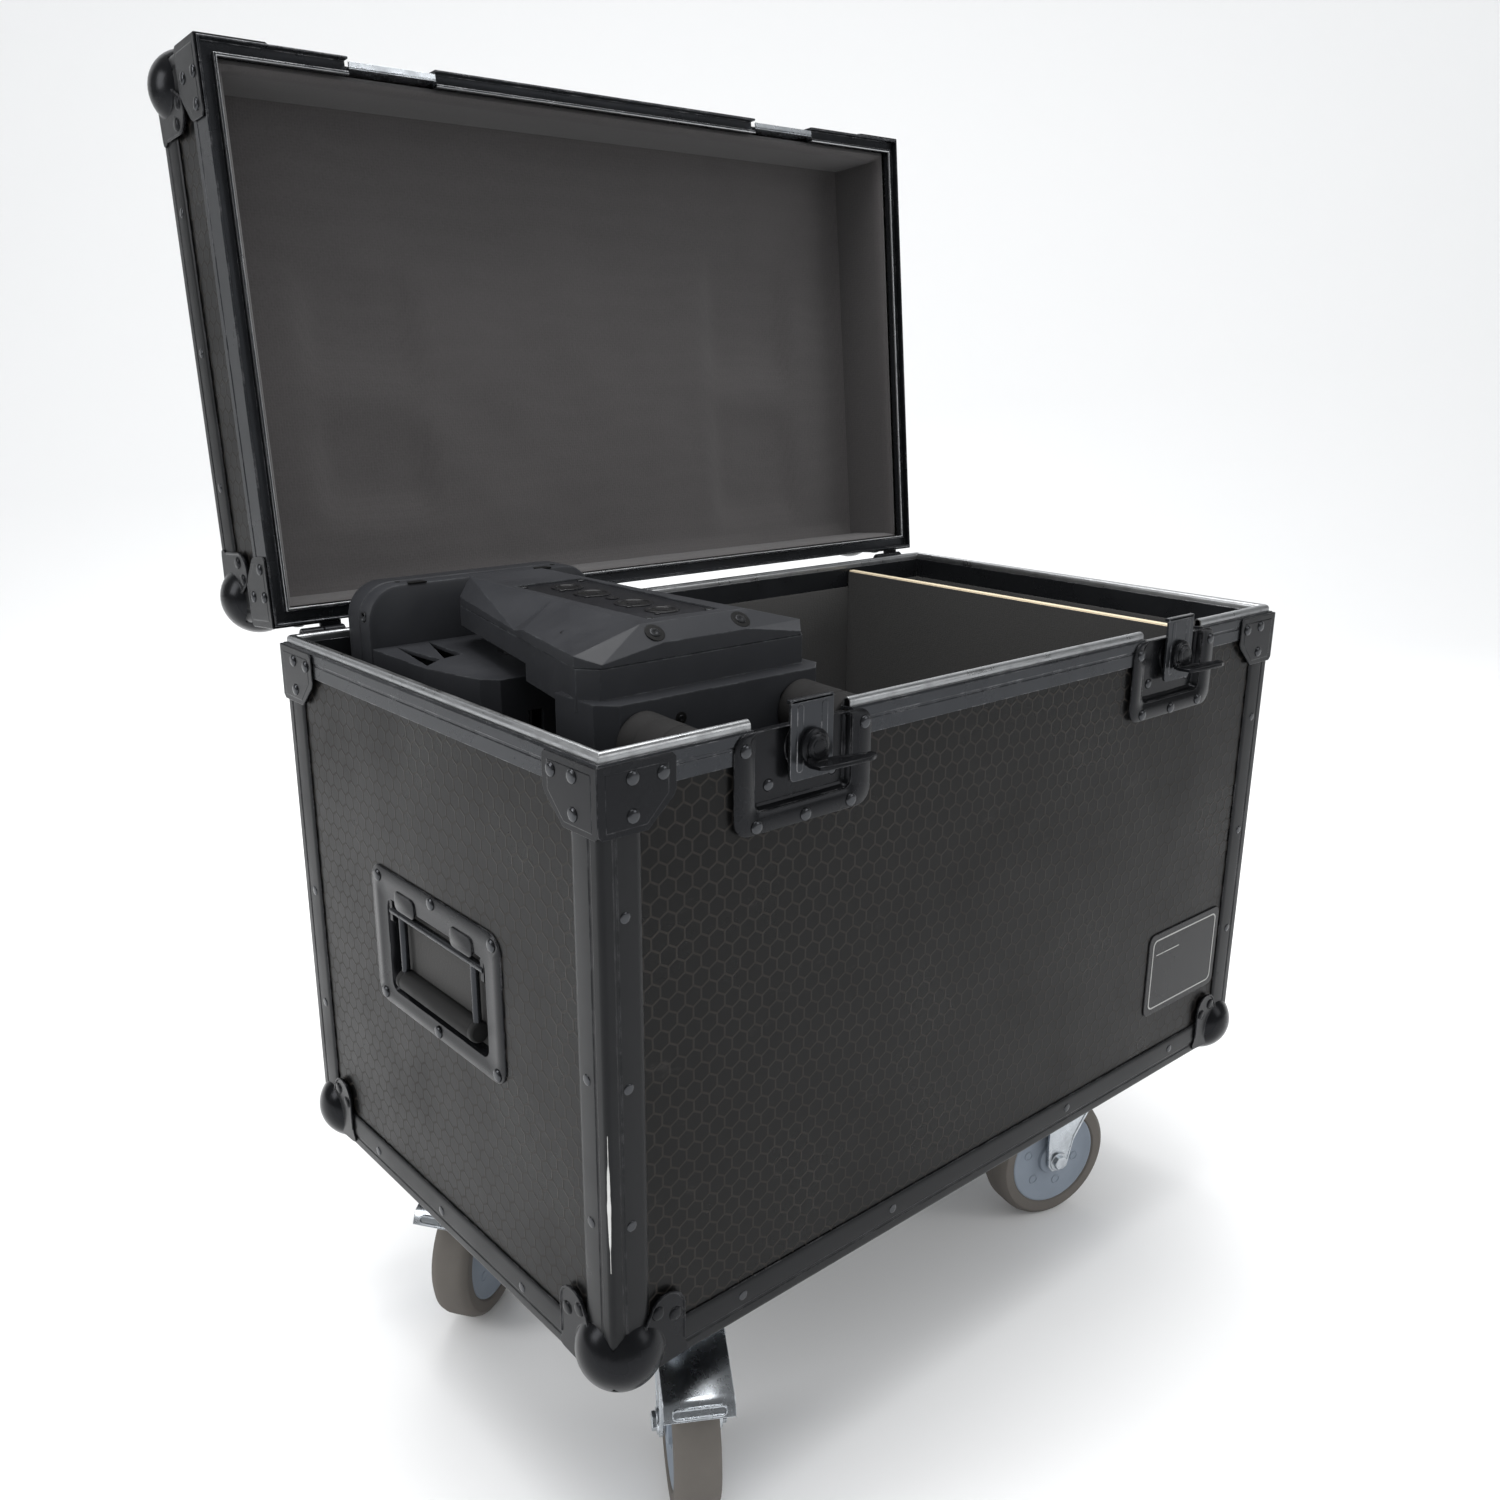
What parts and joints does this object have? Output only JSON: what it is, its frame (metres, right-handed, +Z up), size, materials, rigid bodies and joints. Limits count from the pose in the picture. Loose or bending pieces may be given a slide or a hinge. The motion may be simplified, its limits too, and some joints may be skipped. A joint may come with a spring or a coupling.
{
  "type": "moving head light in a wheeled flight case",
  "caption": "Wheeled flight case with an open lid, butterfly latches and swivel castors, holding a tilting moving head light that lies on its side on foam.",
  "frame": {"origin": "bottom centre of the whole assembly with the lid open: on the floor under the wheels, in the middle of the overall width and depth", "axes": "+X to the right along the front of the case, +Y from the front to the back, +Z up; the light lies with its feet to the front and its head to the back"},
  "size_m": [0.762, 0.6148, 1.0411],
  "materials": {
    "laminate": "satin black laminate",
    "edging": "black anodised aluminium",
    "rim": "worn anodised aluminium",
    "lid_rim": "dark anodised aluminium",
    "lining": "grey felt",
    "padding": "quilted dark grey lining",
    "foam": "closed-cell foam",
    "divider": "raw plywood edge with felt faces",
    "fitting": "gloss black plated steel",
    "zinc": "bright zinc plate",
    "grip": "moulded black rubber",
    "tyre": "grey rubber",
    "label": "blank black plate",
    "casing": "textured black plastic",
    "panel": "black painted sheet",
    "socket": "black plastic",
    "foot": "soft black rubber",
    "axle": "black steel",
    "belt": "toothed belt",
    "glass": "clear cover",
    "led_board": "white board with emitters",
    "heat_sink": "extruded",
    "fan": "moulded",
    "supply": "folded sheet"
  },
  "bodies": {
    "case": {"front_panel": "laminate", "back_panel": "laminate", "left_panel": "laminate", "right_panel": "laminate", "bottom_panel": "laminate", "body_edging": "edging", "body_rim": "rim", "body_lining": "lining", "divider": "divider", "foam_cradle": "foam", "name_plate": "label", "left_handle_dish": "fitting", "right_handle_dish": "fitting", "left_latch_dish": "fitting", "right_latch_dish": "fitting"},
    "lid": {"lid_panels": "laminate", "lid_edging": "edging", "lid_rim": "lid_rim", "lid_padding": "padding", "left_latch_keeper": "zinc", "right_latch_keeper": "zinc"},
    "light": {"yoke_frame": "casing", "upper_arm_cover": "casing", "lower_arm_cover": "casing", "connector_panel": "panel", "socket_block": "socket", "foot_1": "foot", "foot_2": "foot", "foot_3": "foot", "foot_4": "foot", "tilt_motor": "axle", "tilt_belt": "belt", "power_supply": "supply", "display_panel": "panel"},
    "head": {"head_bezel": "casing", "front_glass": "glass", "led_board": "led_board", "heat_sink": "heat_sink", "rear_cover": "casing", "upper_tilt_axle": "axle", "lower_tilt_axle": "axle"},
    "pulley": {"motor_pulley": "zinc"},
    "fan": {"cooling_fan": "fan"},
    "dial": {"menu_dial": "socket"},
    "left_wing": {"left_latch_wing": "fitting"},
    "left_hook": {"left_latch_hook": "fitting"},
    "left_grip": {"left_handle_grip": "grip"},
    "right_wing": {"right_latch_wing": "fitting"},
    "right_hook": {"right_latch_hook": "fitting"},
    "right_grip": {"right_handle_grip": "grip"},
    "front_left_fork": {"front_left_fork": "zinc"},
    "front_left_wheel": {"front_left_wheel": "tyre"},
    "front_left_pedal": {"front_left_brake_pedal": "zinc"},
    "front_right_fork": {"front_right_fork": "zinc"},
    "front_right_wheel": {"front_right_wheel": "tyre"},
    "back_left_fork": {"back_left_fork": "zinc"},
    "back_left_wheel": {"back_left_wheel": "tyre"},
    "back_left_pedal": {"back_left_brake_pedal": "zinc"},
    "back_right_fork": {"back_right_fork": "zinc"},
    "back_right_wheel": {"back_right_wheel": "tyre"}
  },
  "joints": [
    {"name": "lid_hinge", "type": "hinge", "parent": "case", "child": "lid", "pos_m": [0, 0.15585, 0.5988], "axis": [-1, 0, 0], "range_deg": [-95.7, 0]},
    {"name": "light_lift", "type": "slide", "parent": "case", "child": "light", "axis": [0, 0, 1], "range_m": [0, 0.45]},
    {"name": "head_tilt", "type": "hinge", "parent": "light", "child": "head", "pos_m": [-0.221, 0.00445, 0.43], "axis": [0, 0, 1], "range_deg": [-2.5, 2.5]},
    {"name": "motor_pulley_spin", "type": "hinge", "parent": "light", "child": "pulley", "pos_m": [-0.221, -0.18255, 0.622], "axis": [0, 0, 1], "range_deg": [-7.5, 7.5]},
    {"name": "fan_spin", "type": "hinge", "parent": "head", "child": "fan", "pos_m": [-0.221, -0.05155, 0.43], "axis": [0, 1, 0], "continuous": true},
    {"name": "menu_dial_turn", "type": "hinge", "parent": "light", "child": "dial", "pos_m": [-0.1181, -0.18405, 0.47], "axis": [1, 0, 0], "continuous": true},
    {"name": "left_latch_turn", "type": "hinge", "parent": "case", "child": "left_wing", "pos_m": [-0.206, -0.29055, 0.58], "axis": [0, 1, 0], "range_deg": [-180, 0]},
    {"name": "left_hook_draw", "type": "slide", "parent": "case", "child": "left_hook", "axis": [0, -0.2496, 0.9684], "range_m": [-0.0093, 0]},
    {"name": "right_latch_turn", "type": "hinge", "parent": "case", "child": "right_wing", "pos_m": [0.216, -0.29055, 0.58], "axis": [0, 1, 0], "range_deg": [-180, 0]},
    {"name": "right_hook_draw", "type": "slide", "parent": "case", "child": "right_hook", "axis": [0, -0.2496, 0.9684], "range_m": [-0.0093, 0]},
    {"name": "left_handle_swing", "type": "hinge", "parent": "case", "child": "left_grip", "pos_m": [-0.3657, -0.07355, 0.419], "axis": [0, 1, 0], "range_deg": [0, 90], "stiffness_Nm_per_rad": 0.15},
    {"name": "right_handle_swing", "type": "hinge", "parent": "case", "child": "right_grip", "pos_m": [0.3657, -0.07355, 0.419], "axis": [0, -1, 0], "range_deg": [0, 90], "stiffness_Nm_per_rad": 0.15},
    {"name": "front_left_swivel", "type": "hinge", "parent": "case", "child": "front_left_fork", "pos_m": [-0.2507, -0.20455, 0.154], "axis": [0, 0, 1], "continuous": true},
    {"name": "front_left_roll", "type": "hinge", "parent": "front_left_fork", "child": "front_left_wheel", "pos_m": [-0.2714, -0.23819, 0.0625], "axis": [0.8517, -0.524, 0], "continuous": true},
    {"name": "front_left_brake", "type": "hinge", "parent": "front_left_fork", "child": "front_left_pedal", "pos_m": [-0.27402, -0.24245, 0.1365], "axis": [0.8517, -0.524, 0], "range_deg": [0, 6]},
    {"name": "front_right_swivel", "type": "hinge", "parent": "case", "child": "front_right_fork", "pos_m": [0.2507, -0.20455, 0.154], "axis": [0, 0, 1], "continuous": true},
    {"name": "front_right_roll", "type": "hinge", "parent": "front_right_fork", "child": "front_right_wheel", "pos_m": [0.21249, -0.19453, 0.0625], "axis": [-0.2538, -0.9673, 0], "continuous": true},
    {"name": "back_left_swivel", "type": "hinge", "parent": "case", "child": "back_left_fork", "pos_m": [-0.2507, 0.06545, 0.154], "axis": [0, 0, 1], "continuous": true},
    {"name": "back_left_roll", "type": "hinge", "parent": "back_left_fork", "child": "back_left_wheel", "pos_m": [-0.2836, 0.04359, 0.0625], "axis": [0.5534, -0.8329, 0], "continuous": true},
    {"name": "back_left_brake", "type": "hinge", "parent": "back_left_fork", "child": "back_left_pedal", "pos_m": [-0.28776, 0.04082, 0.1365], "axis": [0.5534, -0.8329, 0], "range_deg": [0, 6]},
    {"name": "back_right_swivel", "type": "hinge", "parent": "case", "child": "back_right_fork", "pos_m": [0.2507, 0.06545, 0.154], "axis": [0, 0, 1], "continuous": true},
    {"name": "back_right_roll", "type": "hinge", "parent": "back_right_fork", "child": "back_right_wheel", "pos_m": [0.2149, 0.04875, 0.0625], "axis": [0.4226, -0.9063, 0], "continuous": true}
  ],
  "couplings": [
    {"joint": "motor_pulley_spin", "follows": "head_tilt", "ratio": 3},
    {"joint": "left_hook_draw", "follows": "left_latch_turn", "m_per_rad": 0.0029573},
    {"joint": "right_hook_draw", "follows": "right_latch_turn", "m_per_rad": 0.0029573}
  ]
}
